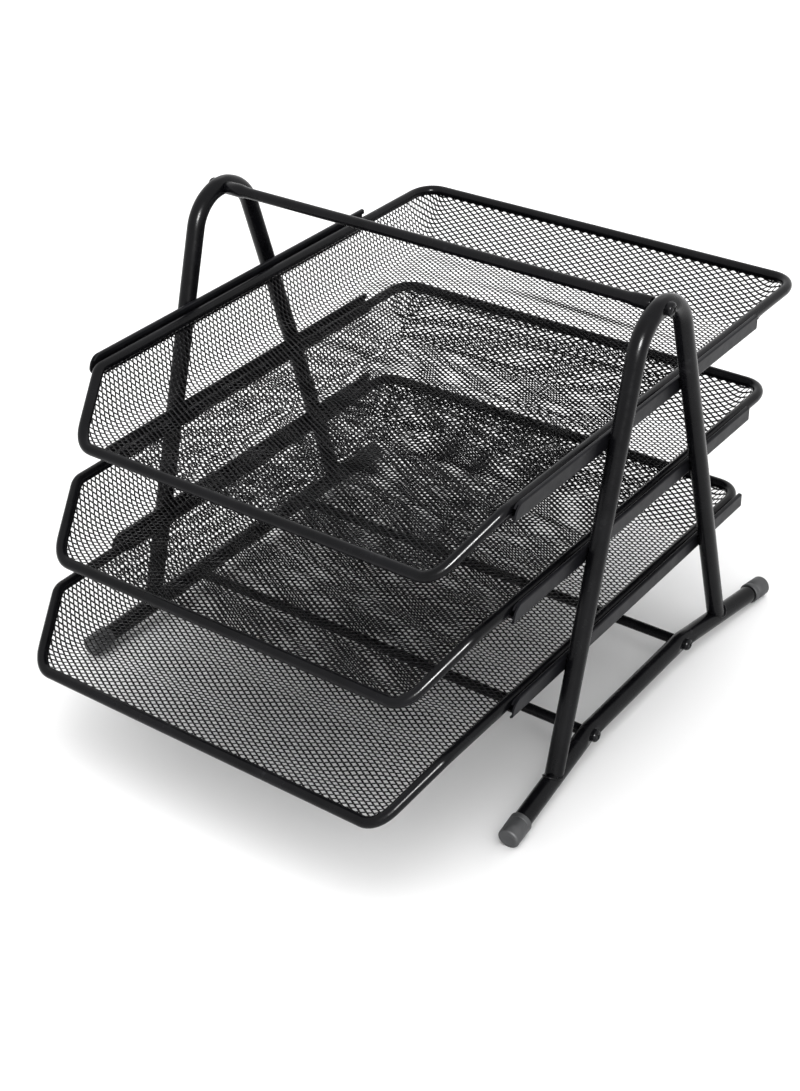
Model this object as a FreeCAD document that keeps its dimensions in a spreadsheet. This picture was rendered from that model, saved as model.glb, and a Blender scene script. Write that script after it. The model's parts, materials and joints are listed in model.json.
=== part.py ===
import FreeCAD, Part
import Sketcher
import math
import os

# Three-tier mesh letter tray: two A-frames of round tube joined by a top handle bar and two
# base bars carry three pairs of sheet rails, and three expanded-metal trays slide on the rails.
#
# +X is to the right of a person facing the open fronts, +Y runs from the fronts to the backs,
# +Z is up. The origin is on the desk, in the middle of the box round the whole object with the
# trays staggered as they stand at rest.

DIMENSIONS = {
    # side frames
    "frame_x": 140.0,              # middle plane of each A-frame
    "frame_y": 11.85,              # the A-frames' apex, rearward of the origin
    "tube_diameter": 10.0,
    "tube_wall": 1.2,
    "apex_height": 242.3,          # tube axis at the apex
    "apex_radius": 24.0,
    "foot_half_spread": 88.0,      # from the apex plane to each foot
    "foot_gap": 1.0,               # leg end above the floor tube's axis
    "cope_length": 40.0,           # of the floor tube's shape, cut from a leg's foot
    # floor tubes, bent outwards and down towards their ends
    "kink_x": 137.0,
    "kink_half_spread": 50.0,
    "kink_height": 12.8,
    "floor_bend_radius": 28.0,
    "tip_x": 144.3,
    "tip_half_spread": 137.5,
    "tip_height": 5.2,
    # end caps
    "cap_diameter": 12.0,
    "cap_length": 14.5,
    "cap_end": 2.0,
    "cap_round": 2.4,
    # crossbars and screws
    "bar_diameter": 6.0,
    "screw_diameter": 3.0,
    "screw_clearance": 3.4,
    "screw_length": 16.0,
    "head_diameter": 7.2,
    "head_height": 2.8,
    "head_round": 1.8,
    "seat_diameter": 8.0,
    "seat_depth": 0.8,             # the head's seat is pressed this deep into the tube
    "thread_depth": 9.0,
    # rails
    "rail_sheet": 1.0,
    "rail_length": 239.0,
    "rail_face": 6.8,              # outer face of the rail, outward of the tray rim's axis
    "rail_top": 4.9,               # above the rim's axis
    "lip_gap": 0.3,                # clearance under the rim
    "lip_inner": 1.0,              # lip edge, inward of the rim's axis
    "lip_setback": 4.0,            # the lip stops short of the rail's ends
    "hem_thickness": 2.6,
    "hem_drop": 2.6,
    "rail_bend": 2.0,
    "hem_round": 0.9,
    "rail_front_round": 8.0,
    # trays
    "rim_height_bottom": 69.8,
    "tier_pitch": 56.6,
    "rim_half_width": 128.2,
    "floor_half_width": 112.2,
    "tray_depth": 333.5,           # front floor edge to the rear rim, both at the wire's axis
    "tray_height": 25.1,           # floor sheet to the rim's axis
    "front_slant": 35.2,           # run of the slanted front edge
    "back_slant": 25.2,
    "rim_diameter": 6.0,
    "mesh_sheet": 1.0,
    "floor_fold": 15.0,
    "rear_corner": 18.0,
    "rim_front_bend": 9.0,
    "front_cut_width": 384.6,      # of the block that cuts the slanted front
    "front_cut_height": 200.8,
    # front floor edges of the three trays at rest
    "front_bottom": -191.35,
    "front_middle": -167.55,
    "front_top": -142.15,
}

SIDES = {"left": -1, "right": 1}
ENDS = {"front": -1, "rear": 1}
TIERS = ("bottom", "middle", "top")

ORIGIN = FreeCAD.Vector(0, 0, 0)
AXIS_X = FreeCAD.Vector(1, 0, 0)
AXIS_Y = FreeCAD.Vector(0, 1, 0)
AXIS_Z = FreeCAD.Vector(0, 0, 1)
VERTICAL_AXIS = -2                 # a sketch's own vertical axis, as constraints number it
START, END, CENTRE = 1, 2, 3       # points of a sketch edge, as constraints number them

doc = FreeCAD.newDocument("LetterTray")


# ---------------------------------------------------------------- sheet and helpers

def make_sheet():
    sheet = doc.addObject("Spreadsheet::Sheet", "Dims")
    for row, (alias, value) in enumerate(DIMENSIONS.items(), start=1):
        sheet.set(f"A{row}", alias)
        sheet.set(f"B{row}", str(value))
        sheet.setAlias(f"B{row}", alias)
    doc.recompute()
    return sheet


sheet = make_sheet()


def dim(alias):
    return float(sheet.get(alias))


def half_turn(side):
    """Turn the right-hand shape about the vertical to make the left-hand one."""
    return FreeCAD.Rotation(AXIS_Z, 0 if side > 0 else 180)


def frame_point(x, y, z):
    """A point given from the apex plane, in the part's own frame."""
    return FreeCAD.Vector(x, dim("frame_y") + y, z)


def origin_plane(body, role):
    return next(feature for feature in body.Origin.OriginFeatures if feature.Role == role)


def add_sketch(body, name, role, offset=0.0):
    sketch = body.newObject("Sketcher::SketchObject", name)
    sketch.AttachmentSupport = [(origin_plane(body, role), "")]
    sketch.MapMode = "FlatFace"
    sketch.AttachmentOffset = FreeCAD.Placement(FreeCAD.Vector(0, 0, offset), FreeCAD.Rotation())
    return sketch


def measured(sketch, kind, refs):
    """The present size of what a constraint refers to, so that it starts solved."""
    if kind == "Radius":
        return sketch.Geometry[refs[0]].Radius
    points = [sketch.getPoint(refs[i], refs[i + 1]) for i in range(0, len(refs), 2)]
    if len(points) == 1:
        points.insert(0, ORIGIN)
    step = points[1] - points[0]
    return step.x if kind == "DistanceX" else step.y


def drive(sketch, kind, refs, formula):
    """Hold a radius or a distance in a sketch at a formula of the sheet's cells."""
    value = measured(sketch, kind, refs)
    index = sketch.addConstraint(Sketcher.Constraint(kind, *refs, value))
    sketch.setExpression(f"Constraints[{index}]", formula)


def join(sketch, first, second, kind="Coincident"):
    """Join the end of one edge to the start of the next, by default with no tangency."""
    sketch.addConstraint(Sketcher.Constraint(kind, *first, *second))


def add_circles(sketch, centre_y, *formulas):
    """Circles round a point of the vertical axis, one for each diameter."""
    height = 0.0 if centre_y is None else dim(centre_y)
    for diameter, formula in formulas:
        edge = sketch.addGeometry(
            Part.Circle(FreeCAD.Vector(0, height, 0), AXIS_Z, diameter / 2))
        sketch.addConstraint(Sketcher.Constraint("PointOnObject", edge, CENTRE, VERTICAL_AXIS))
        drive(sketch, "DistanceY", (edge, CENTRE), f"Dims.{centre_y}" if centre_y else "0")
        drive(sketch, "Radius", (edge,), formula)


def add_tube_section(sketch, centre_y=None):
    outer = dim("tube_diameter")
    inner = outer - 2 * dim("tube_wall")
    add_circles(sketch, centre_y,
                (outer, "Dims.tube_diameter / 2"),
                (inner, "Dims.tube_diameter / 2 - Dims.tube_wall"))


def add_pipe(body, section, path):
    pipe = body.newObject("PartDesign::AdditivePipe", "Tube")
    pipe.Profile = section
    pipe.Spine = (path, [f"Edge{i + 1}" for i in range(len(path.Geometry))])
    pipe.Mode = "Frenet"
    body.Tip = pipe
    return pipe


def add_mirror(body, feature, role):
    mirror = body.newObject("PartDesign::Mirrored", "Mirror")
    mirror.Originals = [feature]
    mirror.MirrorPlane = (origin_plane(body, role), [""])
    body.Tip = mirror
    return mirror


def cut_cylinder(body, name, start, direction, radius, height):
    """Remove a round bar from a body. radius and height are formulas."""
    cutter = body.newObject("PartDesign::SubtractiveCylinder", name)
    cutter.Placement = FreeCAD.Placement(start, FreeCAD.Rotation(AXIS_Z, direction))
    cutter.setExpression("Radius", radius)
    cutter.setExpression("Height", height)
    body.Tip = cutter
    return cutter


def add_box(body, name, corner, length, width, height):
    """A block of a body. length, width and height are formulas for X, Y and Z."""
    block = body.newObject("PartDesign::AdditiveBox", name)
    block.Placement = FreeCAD.Placement(corner, FreeCAD.Rotation())
    block.setExpression("Length", length)
    block.setExpression("Width", width)
    block.setExpression("Height", height)
    body.Tip = block
    return block


def edges_where(feature, test):
    return [f"Edge{i + 1}" for i, edge in enumerate(feature.Shape.Edges) if test(edge)]


def add_fillet(body, name, feature, test, formula):
    doc.recompute()
    fillet = body.newObject("PartDesign::Fillet", name)
    fillet.Base = (feature, edges_where(feature, test))
    fillet.setExpression("Radius", formula)
    body.Tip = fillet
    return fillet


def new_body(label, placement=None):
    body = doc.addObject("PartDesign::Body", label)
    body.Label = label
    if placement is not None:
        body.Placement = placement
    return body


# ---------------------------------------------------------------- side frames

def floor_tube_direction():
    """Unit vector along the right floor tube's rear stretch, outwards, back and down."""
    step = FreeCAD.Vector(dim("tip_x") - dim("kink_x"),
                          dim("tip_half_spread") - dim("kink_half_spread"),
                          dim("tip_height") - dim("kink_height"))
    return step.normalize()


def cut_screw_path(body, centre, outward):
    """The clearance hole through a tube and the flat seat pressed in for the screw's head."""
    seat = centre + outward * (dim("tube_diameter") / 2 - dim("seat_depth"))
    start = centre - outward * dim("tube_diameter")
    cut_cylinder(body, "ScrewHole", start, outward,
                 "Dims.screw_clearance / 2", "Dims.tube_diameter * 2")
    cut_cylinder(body, "HeadSeat", seat, outward,
                 "Dims.seat_diameter / 2", "Dims.tube_diameter")


def draw_leg_path(sketch):
    """Half an inverted V: from the apex down the rear leg, in the frame's own plane."""
    radius = dim("apex_radius")
    centre = FreeCAD.Vector(0, dim("apex_height") - radius, 0)
    foot = FreeCAD.Vector(dim("foot_half_spread"), foot_height(), 0)
    to_foot = foot - centre
    angle = math.atan2(to_foot.y, to_foot.x) + math.acos(radius / to_foot.Length)
    touch = centre + FreeCAD.Vector(math.cos(angle), math.sin(angle), 0) * radius
    arc = sketch.addGeometry(
        Part.ArcOfCircle(Part.Circle(centre, AXIS_Z, radius), angle, math.pi / 2))
    leg = sketch.addGeometry(Part.LineSegment(touch, foot))
    sketch.addConstraint(Sketcher.Constraint("PointOnObject", arc, CENTRE, VERTICAL_AXIS))
    sketch.addConstraint(Sketcher.Constraint("PointOnObject", arc, END, VERTICAL_AXIS))
    join(sketch, (arc, START), (leg, START), "Tangent")
    drive(sketch, "Radius", (arc,), "Dims.apex_radius")
    drive(sketch, "DistanceY", (arc, CENTRE), "Dims.apex_height - Dims.apex_radius")
    drive(sketch, "DistanceX", (leg, END), "Dims.foot_half_spread")


def foot_axis_point():
    """Where the rear foot meets the axis of the right floor tube, from the apex plane."""
    kink = FreeCAD.Vector(dim("kink_x"), dim("kink_half_spread"), dim("kink_height"))
    along = floor_tube_direction()
    return kink + along * ((dim("foot_half_spread") - kink.y) / along.y)


def foot_height():
    return foot_axis_point().z + dim("foot_gap")


def make_a_frame_tube(name, side):
    placement = FreeCAD.Placement(frame_point(side * dim("frame_x"), 0, 0), half_turn(side))
    body = new_body(f"{name}_a_frame_tube", placement)
    path = add_sketch(body, "LegPath", "YZ_Plane")
    draw_leg_path(path)
    section = add_sketch(body, "TubeSection", "XZ_Plane")
    add_tube_section(section, "apex_height")
    add_mirror(body, add_pipe(body, section, path), "XZ_Plane")
    doc.recompute()
    foot = foot_axis_point() - FreeCAD.Vector(dim("frame_x"), 0, 0)
    along = floor_tube_direction()
    for end in ENDS.values():
        direction = FreeCAD.Vector(along.x, end * along.y, along.z)
        start = FreeCAD.Vector(foot.x, end * foot.y, foot.z) - direction * dim("cope_length") / 2
        cut_cylinder(body, "FootCope", start, direction,
                     "Dims.tube_diameter / 2", "Dims.cope_length")
    cut_screw_path(body, FreeCAD.Vector(0, 0, dim("apex_height")), AXIS_X)
    return body


def floor_tube_tilt():
    """Angle of the floor tube's bending plane below the horizontal, in degrees."""
    return math.degrees(math.atan2(dim("kink_height") - dim("tip_height"),
                                   dim("tip_x") - dim("kink_x")))


def draw_floor_path(sketch):
    """Half a floor tube: straight to the bend, then outwards to where the cap's end begins."""
    radius = dim("floor_bend_radius")
    kink = FreeCAD.Vector(0, dim("kink_half_spread"), 0)
    splay = math.hypot(dim("tip_x") - dim("kink_x"), dim("kink_height") - dim("tip_height"))
    tip = FreeCAD.Vector(splay, dim("tip_half_spread"), 0)
    outward = (tip - kink).normalize()
    tip = tip - outward * dim("cap_end")
    turn = math.atan2(outward.x, outward.y)
    setback = radius * math.tan(turn / 2)
    centre = kink + FreeCAD.Vector(radius, -setback, 0)
    first = sketch.addGeometry(Part.LineSegment(ORIGIN, kink - AXIS_Y * setback))
    bend = sketch.addGeometry(
        Part.ArcOfCircle(Part.Circle(centre, AXIS_Z, radius), math.pi - turn, math.pi))
    last = sketch.addGeometry(Part.LineSegment(kink + outward * setback, tip))
    sketch.addConstraint(Sketcher.Constraint("Coincident", first, START, -1, START))
    sketch.addConstraint(Sketcher.Constraint("Vertical", first))
    join(sketch, (first, END), (bend, END), "Tangent")
    join(sketch, (bend, START), (last, START), "Tangent")
    drive(sketch, "Radius", (bend,), "Dims.floor_bend_radius")


def make_floor_tube(name, side):
    tilt = FreeCAD.Rotation(AXIS_Y, floor_tube_tilt())
    place = frame_point(side * dim("kink_x"), 0, dim("kink_height"))
    placement = FreeCAD.Placement(place, half_turn(side).multiply(tilt))
    body = new_body(f"{name}_floor_tube", placement)
    path = add_sketch(body, "TubePath", "XY_Plane")
    draw_floor_path(path)
    section = add_sketch(body, "TubeSection", "XZ_Plane")
    add_tube_section(section)
    add_mirror(body, add_pipe(body, section, path), "XZ_Plane")
    doc.recompute()
    outward = tilt.inverted().multVec(AXIS_X)
    for end in ENDS.values():
        cut_screw_path(body, FreeCAD.Vector(0, end * dim("kink_half_spread"), 0), outward)
    return body


# ---------------------------------------------------------------- end caps

def draw_cap_profile(sketch):
    """Half section of the cap: its closed end at the origin, its open end below."""
    outer = dim("cap_diameter") / 2
    inner = dim("tube_diameter") / 2
    corner = dim("cap_round")
    points = [(0, 0), (outer - corner, 0), (outer, -corner), (outer, -dim("cap_length")),
              (inner, -dim("cap_length")), (inner, -dim("cap_end")), (0, -dim("cap_end"))]
    points = [FreeCAD.Vector(x, y, 0) for x, y in points]
    centre = FreeCAD.Vector(outer - corner, -corner, 0)
    edges = []
    for i, point in enumerate(points):
        after = points[(i + 1) % len(points)]
        shape = Part.LineSegment(point, after)
        if i == 1:
            shape = Part.ArcOfCircle(Part.Circle(centre, AXIS_Z, corner), 0, math.pi / 2)
        edges.append(sketch.addGeometry(shape))
    for i, edge in enumerate(edges):
        after = edges[(i + 1) % len(edges)]
        join(sketch, (edge, START if i == 1 else END), (after, END if i == 0 else START))
    for edge in (edges[0], edges[3], edges[5]):
        sketch.addConstraint(Sketcher.Constraint("Horizontal", edge))
    for edge in (edges[2], edges[4], edges[6]):
        sketch.addConstraint(Sketcher.Constraint("Vertical", edge))
    sketch.addConstraint(Sketcher.Constraint("Coincident", edges[0], START, -1, START))
    drive(sketch, "Radius", (edges[1],), "Dims.cap_round")
    drive(sketch, "DistanceX", (edges[2], END), "Dims.cap_diameter / 2")
    drive(sketch, "DistanceX", (edges[4], END), "Dims.tube_diameter / 2")
    drive(sketch, "DistanceY", (edges[4], END), "-Dims.cap_end")
    drive(sketch, "DistanceY", (edges[4], START), "-Dims.cap_length")


def make_end_cap(end_name, end, side_name, side):
    """A sleeve over the tube's end, closed and rounded, with the flat that it stands on."""
    along = floor_tube_direction()
    direction = FreeCAD.Vector(side * along.x, end * along.y, along.z)
    tip = frame_point(side * dim("tip_x"), end * dim("tip_half_spread"), dim("tip_height"))
    placement = FreeCAD.Placement(tip, FreeCAD.Rotation(AXIS_Z, direction))
    sleeve = new_body(f"{end_name}_{side_name}_cap_sleeve", placement)
    profile = add_sketch(sleeve, "CapProfile", "XZ_Plane")
    draw_cap_profile(profile)
    turned = sleeve.newObject("PartDesign::Revolution", "Turned")
    turned.Profile = profile
    turned.ReferenceAxis = (profile, ["V_Axis"])
    turned.Angle = 360
    sleeve.Tip = turned
    desk = doc.addObject("Part::Box", f"{end_name}_{side_name}_desk")
    for size in ("Length", "Width", "Height"):
        desk.setExpression(size, "Dims.cap_length * 2")
    reach = dim("cap_length")
    desk.Placement.Base = FreeCAD.Vector(tip.x - reach, tip.y - reach, -2 * reach)
    cap = doc.addObject("Part::Cut", f"{end_name}_{side_name}_end_cap")
    cap.Base = sleeve
    cap.Tool = desk
    return cap


# ---------------------------------------------------------------- crossbars and screws

def make_bar(label, end_x, y, height):
    """A round bar between the two frames, tapped at both ends. end_x is a formula's alias."""
    body = new_body(label, FreeCAD.Placement(frame_point(0, y, height), FreeCAD.Rotation()))
    section = add_sketch(body, "BarSection", "YZ_Plane")
    add_circles(section, None, (dim("bar_diameter"), "Dims.bar_diameter / 2"))
    bar = body.newObject("PartDesign::Pad", "Bar")
    bar.Profile = section
    bar.Midplane = True
    bar.setExpression("Length", f"2 * Dims.{end_x} - Dims.tube_diameter")
    body.Tip = bar
    mouth = dim(end_x) - dim("tube_diameter") / 2 + 1
    for side in SIDES.values():
        cut_cylinder(body, "Tapping", AXIS_X * side * mouth, AXIS_X * -side,
                     "Dims.screw_diameter / 2", "Dims.thread_depth + 1")
    return body


def make_screw(label, place, direction):
    """A pan-head machine screw. Its origin is under the head and its head points +Z."""
    body = new_body(label, FreeCAD.Placement(place, FreeCAD.Rotation(AXIS_Z, direction)))
    head = body.newObject("PartDesign::AdditiveCylinder", "Head")
    head.setExpression("Radius", "Dims.head_diameter / 2")
    head.setExpression("Height", "Dims.head_height")
    body.Tip = head
    top = dim("head_height") / 2
    add_fillet(body, "Dome", head, lambda edge: edge.BoundBox.ZMin > top, "Dims.head_round")
    shank = body.newObject("PartDesign::AdditiveCylinder", "Shank")
    shank.Placement.Base = AXIS_Z * -dim("screw_length")
    shank.setExpression("Radius", "Dims.screw_diameter / 2")
    shank.setExpression("Height", "Dims.screw_length")
    body.Tip = shank
    return body


def make_screw_pair(label, x, y, height):
    pair = doc.addObject("Part::Compound", label)
    seat = x + dim("tube_diameter") / 2 - dim("seat_depth")
    pair.Links = [make_screw(f"{label}_{name}", frame_point(side * seat, y, height), AXIS_X * side)
                  for name, side in SIDES.items()]
    return pair


# ---------------------------------------------------------------- rails

def make_rail(tier, name, side):
    """A strip bent to an L with a folded hem on top, welded inside the two legs of a frame."""
    height = rim_height(tier)
    place = frame_point(side * dim("rim_half_width"), 0, height)
    body = new_body(f"{tier}_{name}_rail", FreeCAD.Placement(place, half_turn(side)))
    sheet_mm = dim("rail_sheet")
    face = dim("rail_face")
    start = -dim("rail_length") / 2
    lip_top = -dim("rim_diameter") / 2 - dim("lip_gap")
    lip_bottom = lip_top - sheet_mm
    hem_inner = face - dim("hem_thickness")
    hem_bottom = dim("rail_top") - dim("hem_drop")
    lip_height = "(Dims.rail_top + Dims.rim_diameter / 2 + Dims.lip_gap + Dims.rail_sheet)"
    add_box(body, "Web", FreeCAD.Vector(face - sheet_mm, start, lip_bottom),
            "Dims.rail_sheet", "Dims.rail_length", lip_height)
    add_box(body, "Lip", FreeCAD.Vector(-dim("lip_inner"), start, lip_bottom),
            "Dims.rail_face + Dims.lip_inner", "Dims.rail_length", "Dims.rail_sheet")
    add_box(body, "HemTop", FreeCAD.Vector(hem_inner, start, dim("rail_top") - sheet_mm),
            "Dims.hem_thickness", "Dims.rail_length", "Dims.rail_sheet")
    hem = add_box(body, "HemReturn", FreeCAD.Vector(hem_inner, start, hem_bottom),
                  "Dims.rail_sheet", "Dims.rail_length", "Dims.hem_drop")

    def runs_at(x, z):
        return lambda edge: (abs(edge.BoundBox.XMin - x) < 0.01 and edge.BoundBox.XLength < 0.01
                             and abs(edge.BoundBox.ZMin - z) < 0.01
                             and edge.BoundBox.ZLength < 0.01)

    bend = add_fillet(body, "OuterBend", hem, runs_at(face, lip_bottom), "Dims.rail_bend")
    crown = add_fillet(body, "HemOuter", bend, runs_at(face, dim("rail_top")),
                       "Dims.hem_round")
    add_fillet(body, "HemInner", crown, runs_at(hem_inner, dim("rail_top")),
               "Dims.hem_round")
    for lip_end in (start, -start - dim("lip_setback")):
        relieve_lip(body, FreeCAD.Vector(-2 * dim("lip_inner"), lip_end, lip_bottom - sheet_mm))
    cut_front_corner(body, -side)
    return body


def relieve_lip(body, corner):
    """Stop the lip short at one end, so that the tray's front bend can drop past it."""
    relief = body.newObject("PartDesign::SubtractiveBox", "LipRelief")
    relief.Placement.Base = corner
    relief.setExpression("Length", "2 * Dims.lip_inner + Dims.rail_face - Dims.rail_bend")
    relief.setExpression("Width", "Dims.lip_setback")
    relief.setExpression("Height", "3 * Dims.rail_sheet")
    body.Tip = relief


def cut_front_corner(body, end):
    """Round the top corner of a rail's front. end is the sign of the front's local Y."""
    radius = dim("rail_front_round")
    top = dim("rail_top")
    front = end * dim("rail_length") / 2
    back = front - end * radius
    spare = dim("rail_sheet")
    centre = FreeCAD.Vector(back, top - radius, 0)
    sketch = add_sketch(body, "CornerOutline", "YZ_Plane")
    outline = [(front, top - radius), (front + end * spare, top - radius),
               (front + end * spare, top + spare), (back, top + spare), (back, top)]
    outline = [FreeCAD.Vector(*point, 0) for point in outline]
    edges = [sketch.addGeometry(Part.LineSegment(*pair)) for pair in zip(outline, outline[1:])]
    first = 0 if end > 0 else math.pi / 2
    arc = sketch.addGeometry(Part.ArcOfCircle(
        Part.Circle(centre, AXIS_Z, radius), first, first + math.pi / 2))
    for before, after in zip(edges, edges[1:]):
        join(sketch, (before, END), (after, START))
    top_point, front_point = (END, START) if end > 0 else (START, END)
    join(sketch, (edges[-1], END), (arc, top_point))
    join(sketch, (arc, front_point), (edges[0], START))
    drive(sketch, "Radius", (arc,), "Dims.rail_front_round")
    corner = body.newObject("PartDesign::Pocket", "FrontCorner")
    corner.Profile = sketch
    corner.Type = "ThroughAll"
    corner.Midplane = True
    body.Tip = corner


def rim_height(tier):
    return dim("rim_height_bottom") + TIERS.index(tier) * dim("tier_pitch")


# ---------------------------------------------------------------- trays

def wall_lean():
    """Turn from the flat floor up into the side wall, in radians."""
    return math.atan2(dim("tray_height"), dim("rim_half_width") - dim("floor_half_width"))


def back_lean():
    return math.atan2(dim("tray_height"), dim("back_slant"))


def make_tray_block(label, placement, outset):
    """A solid tray shape, outset from the sheet's middle surface by a fraction of its thickness."""
    grow = f"{outset} * Dims.mesh_sheet"
    lean = "atan(Dims.tray_height / (Dims.rim_half_width - Dims.floor_half_width))"
    back = "atan(Dims.tray_height / Dims.back_slant)"
    floor_width = f"Dims.floor_half_width + {grow} * tan({lean} / 2)"
    floor_back = f"Dims.tray_depth - Dims.back_slant + {grow} * tan({back} / 2)"
    rim_width = f"Dims.rim_half_width + {grow} / sin({lean})"
    rim_back = f"Dims.tray_depth + {grow} / sin({back})"
    body = new_body(label, placement)
    block = body.newObject("PartDesign::AdditiveWedge", "Block")
    block.Placement = FreeCAD.Placement(ORIGIN, FreeCAD.Rotation(AXIS_X, 90))
    for name, formula in {
            "Ymin": f"-(Dims.tray_height + {grow})", "Ymax": "0",
            "Xmin": f"-({floor_width})", "Xmax": floor_width,
            "Zmin": f"-({floor_back})", "Zmax": "Dims.front_slant",
            "X2min": f"-({rim_width})", "X2max": rim_width,
            "Z2min": f"-({rim_back})", "Z2max": "Dims.front_slant"}.items():
        block.setExpression(name, formula)
    body.Tip = block
    bottom = -dim("tray_height") - outset * dim("mesh_sheet")

    def rear_corner(edge):
        box = edge.BoundBox
        return box.ZLength > dim("tray_height") / 2 and box.YMin > 0

    def floor_edge(edge):
        box = edge.BoundBox
        return box.ZMax < bottom + 0.01 and box.YMax > 0

    corners = add_fillet(body, "RearCorners", block, rear_corner, f"Dims.rear_corner + {grow}")
    add_fillet(body, "FloorFold", corners, floor_edge, f"Dims.floor_fold + {grow}")
    return body


def front_direction():
    """Unit vector up the slanted front edge, seen from the side."""
    return FreeCAD.Vector(0, dim("front_slant"), dim("tray_height")).normalize()


def make_front_cutter(label, placement):
    """A block whose rear face is the slanted plane of the tray's front edge."""
    cutter = doc.addObject("Part::Box", label)
    cutter.setExpression("Length", "Dims.front_cut_width")
    cutter.setExpression("Width", "Dims.tray_depth")
    cutter.setExpression("Height", "Dims.front_cut_height")
    reach = dim("front_cut_height") / 2
    up = front_direction()
    ahead = FreeCAD.Vector(0, -up.z, up.y)
    corner = (AXIS_X * (-dim("front_cut_width") / 2) - AXIS_Z * dim("tray_height")
              - up * reach + ahead * dim("tray_depth"))
    tilt = FreeCAD.Rotation(AXIS_X, -math.degrees(math.atan2(up.y, up.z)))
    cutter.Placement = placement.multiply(FreeCAD.Placement(corner, tilt))
    return cutter


def ellipse_arc(centre, major, minor, start, end):
    """The shorter way round an ellipse between two points on it, from its centre and half axes."""
    ellipse = Part.Ellipse(centre + major, centre + minor, centre)
    first, last = sorted((ellipse.parameter(start), ellipse.parameter(end)))
    if last - first > math.pi:
        first, last = last, first + 2 * math.pi
    return Part.ArcOfEllipse(ellipse, first, last).toShape()


def rim_corner():
    """The rim round a rear corner, and its ends on the back and on the side.

    The corner of the sheet is a cylinder along the line where the side wall meets the back, and
    the rim's level plane cuts it in an ellipse.
    """
    radius = dim("rear_corner")
    side_run = dim("rim_half_width") - dim("floor_half_width")
    along = FreeCAD.Vector(side_run, dim("back_slant"), dim("tray_height")) * (1 / dim("tray_height"))
    side_normal = FreeCAD.Vector(math.sin(wall_lean()), 0, -math.cos(wall_lean()))
    back_normal = FreeCAD.Vector(0, math.sin(back_lean()), -math.cos(back_lean()))
    centre = FreeCAD.Vector(dim("rim_half_width") - radius / side_normal.x,
                            dim("tray_depth") - radius / back_normal.y, 0)
    side_end = centre + (side_normal - along * side_normal.z) * radius
    back_end = centre + (back_normal - along * back_normal.z) * radius
    level = FreeCAD.Vector(along.x, along.y, 0)
    major = level * (radius * along.Length / level.Length)
    minor = FreeCAD.Vector(-level.y, level.x, 0) * (radius / level.Length)
    return ellipse_arc(centre, major, minor, back_end, side_end), back_end, side_end


def rim_fold():
    """The rim from the front of the floor up to the side wall, and its two ends.

    The fold of the sheet is a cylinder along Y, which the slanted front plane cuts in an ellipse.
    """
    radius = dim("floor_fold")
    height = dim("tray_height")
    slope = dim("front_slant") / height
    lean = wall_lean()
    centre_x = dim("floor_half_width") - radius * math.tan(lean / 2)
    centre = FreeCAD.Vector(centre_x, radius * slope, radius - height)
    major = FreeCAD.Vector(0, -slope, -1) * radius
    floor_end = centre + major
    wall_end = centre + AXIS_X * (radius * math.sin(lean)) + major * math.cos(lean)
    return ellipse_arc(centre, major, AXIS_X * radius, floor_end, wall_end), floor_end, wall_end


def rim_front_bend():
    """The rim where it turns from the side down the front edge of the wall, and its two ends."""
    radius = dim("rim_front_bend")
    vertex = FreeCAD.Vector(dim("rim_half_width"), dim("front_slant"), 0)
    down = FreeCAD.Vector(dim("floor_half_width") - dim("rim_half_width"),
                          -dim("front_slant"), -dim("tray_height")).normalize()
    turn = AXIS_Y.negative().getAngle(down)
    setback = radius * math.tan(turn / 2)
    side_end = vertex + AXIS_Y * setback
    slope_end = vertex + down * setback
    inward = (AXIS_Y + down).normalize()
    middle = vertex + inward * (radius / math.cos(turn / 2) - radius)
    return Part.Arc(side_end, middle, slope_end).toShape(), side_end, slope_end


def rim_path():
    """Half of the rim wire's axis, from the middle of the back round to the front's middle."""
    corner, back_end, side_start = rim_corner()
    bend, side_end, slope_start = rim_front_bend()
    fold, floor_end, slope_end = rim_fold()
    back_middle = FreeCAD.Vector(0, dim("tray_depth"), 0)
    front_middle = FreeCAD.Vector(0, 0, -dim("tray_height"))

    def line(start, end):
        return Part.LineSegment(start, end).toShape()

    return Part.Wire([line(back_middle, back_end), corner, line(side_start, side_end), bend,
                      line(slope_start, slope_end), fold, line(floor_end, front_middle)])


def make_rim(label, placement):
    """The round wire that edges a tray: half of it swept, then mirrored."""
    path = doc.addObject("Part::Feature", f"{label}_path")
    path.Shape = rim_path()
    section = doc.addObject("Part::Circle", f"{label}_section")
    section.setExpression("Radius", "Dims.rim_diameter / 2")
    section.Placement = FreeCAD.Placement(FreeCAD.Vector(0, dim("tray_depth"), 0),
                                          FreeCAD.Rotation(AXIS_Z, AXIS_X))
    half = doc.addObject("Part::Sweep", f"{label}_half")
    half.Sections = [section]
    half.Spine = (path, [f"Edge{i + 1}" for i in range(len(path.Shape.Edges))])
    half.Solid = True
    half.Frenet = False
    other = doc.addObject("Part::Mirroring", f"{label}_other_half")
    other.Source = half
    other.Normal = AXIS_X
    rim = doc.addObject("Part::Fuse", label)
    rim.Base = half
    rim.Tool = other
    rim.Refine = True
    rim.Placement = placement
    return rim


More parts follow.
